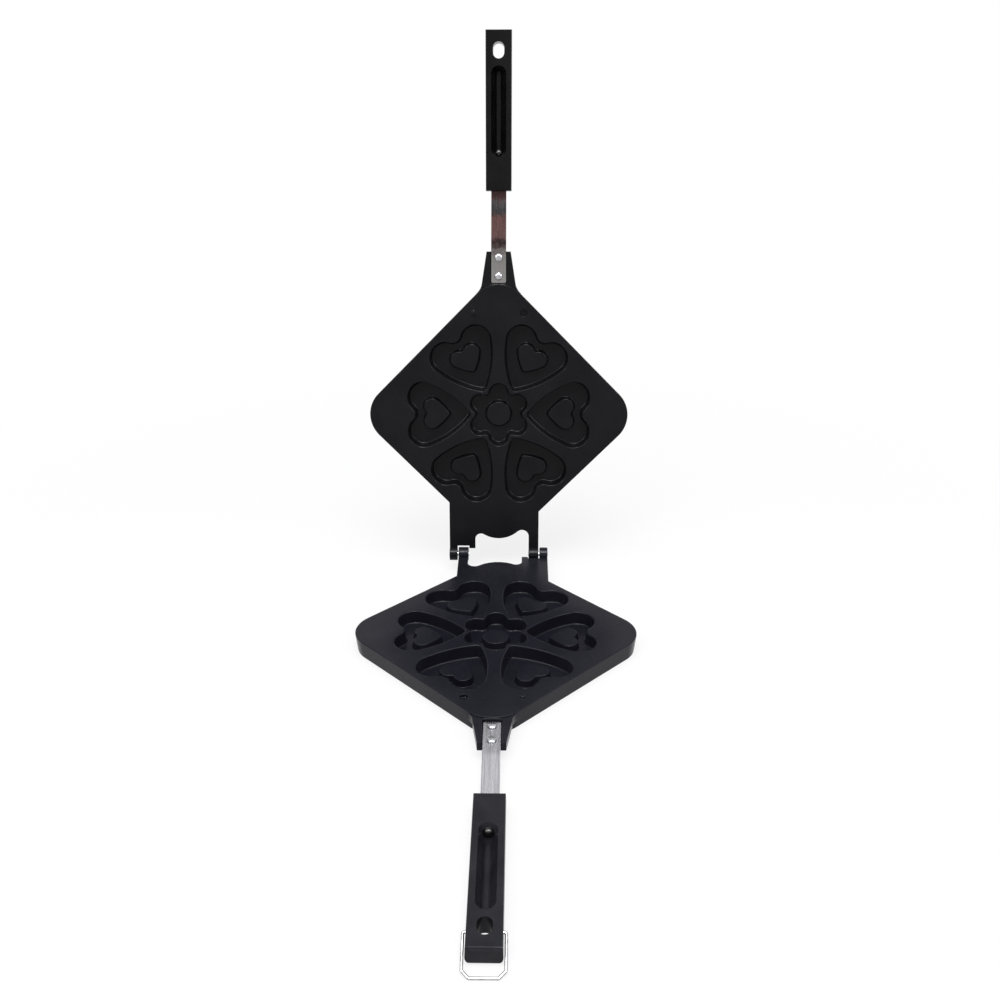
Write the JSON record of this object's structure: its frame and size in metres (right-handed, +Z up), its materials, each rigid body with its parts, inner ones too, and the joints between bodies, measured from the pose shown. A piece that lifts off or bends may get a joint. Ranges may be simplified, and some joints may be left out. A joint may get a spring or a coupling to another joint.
{
  "type": "stovetop waffle iron",
  "caption": "Hinged stovetop waffle iron, shown open: square cast plates set cornerwise with heart moulds around a flower mould, riveted straps, slotted handles and a wire latch bail.",
  "frame": {"origin": "middle of the bounding box's bottom face, on the surface the lower plate stands on", "axes": "+Z up, -Y towards the lower handle, hinge line along X"},
  "size_m": [0.2602, 0.6408, 0.5164],
  "materials": {
    "lower_casting": "dark satin non-stick coating on a die casting",
    "upper_casting": "dark satin non-stick coating on a die casting",
    "handle": "dark moulded thermoset, satin",
    "steel": "bright rolled steel",
    "chrome_wire": "bright chromed wire"
  },
  "bodies": {
    "lower": {"lower_plate": "lower_casting", "lower_strap": "steel", "lower_rivet_inner": "steel", "lower_rivet_outer": "steel", "lower_handle": "handle", "lower_handle_screw": "steel", "lower_screw_washer": "steel", "lower_tang_nut": "steel", "hinge_pin_right": "steel"},
    "upper": {"upper_plate": "upper_casting", "upper_strap": "steel", "upper_rivet_inner": "steel", "upper_rivet_outer": "steel", "upper_handle": "handle", "upper_handle_screw": "steel", "upper_screw_washer": "steel", "upper_tang_nut": "steel", "hinge_pin_left": "steel"},
    "bail": {"latch_bail": "chrome_wire"}
  },
  "joints": [
    {"name": "lid_hinge", "type": "hinge", "parent": "lower", "child": "upper", "pos_m": [0, 0.20198, 0.0178], "axis": [-1, 0, 0], "range_deg": [-101.5, 78.5]},
    {"name": "bail_pivot", "type": "hinge", "parent": "lower", "child": "bail", "pos_m": [0, -0.29248, 0.0122], "axis": [-1, 0, 0], "range_deg": [-130.4, 144.6]}
  ]
}
